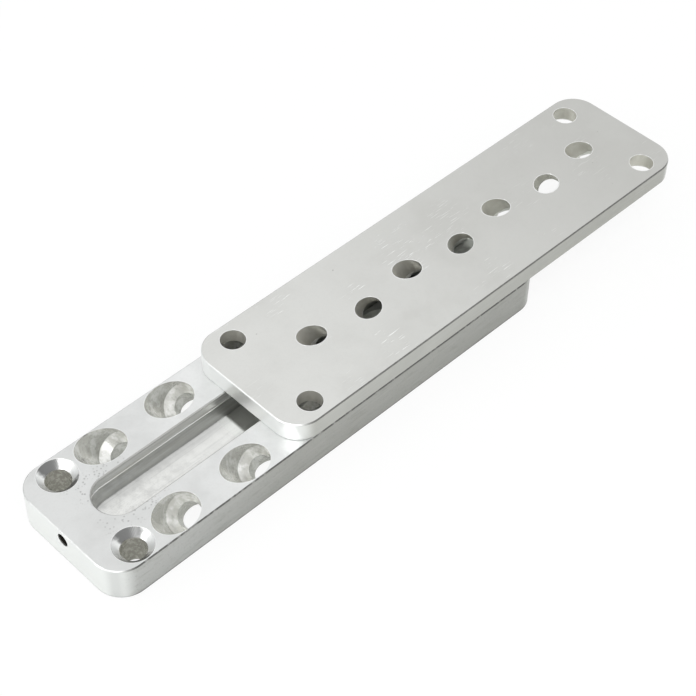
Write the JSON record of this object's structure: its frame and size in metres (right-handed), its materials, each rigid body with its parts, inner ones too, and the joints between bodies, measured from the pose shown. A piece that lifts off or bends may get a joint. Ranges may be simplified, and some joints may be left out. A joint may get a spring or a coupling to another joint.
{
  "type": "slide-together timber beam connector",
  "caption": "Two-piece machined aluminium beam connector: a plate with a dovetail tongue slides into a grooved block, with inclined screw holes.",
  "frame": {"origin": "middle of the block's flat back face", "axes": "+Z out of the block's back, through the plate; +X from the closed end of the groove to its open end; +Y across the width"},
  "size_m": [0.3093, 0.06, 0.0246],
  "materials": {
    "block_aluminium": "milled, satin, with bright cutter marks in the groove and bores",
    "plate_aluminium": "milled, fine matte, with bright burrs at the holes"
  },
  "bodies": {
    "block": {"groove_block": "block_aluminium"},
    "plate": {"tongue_plate": "plate_aluminium"}
  },
  "joints": [
    {"name": "tongue_slide", "type": "slide", "parent": "block", "child": "plate", "axis": [1, 0, 0], "range_m": [-0.0857, 0.0843]}
  ]
}
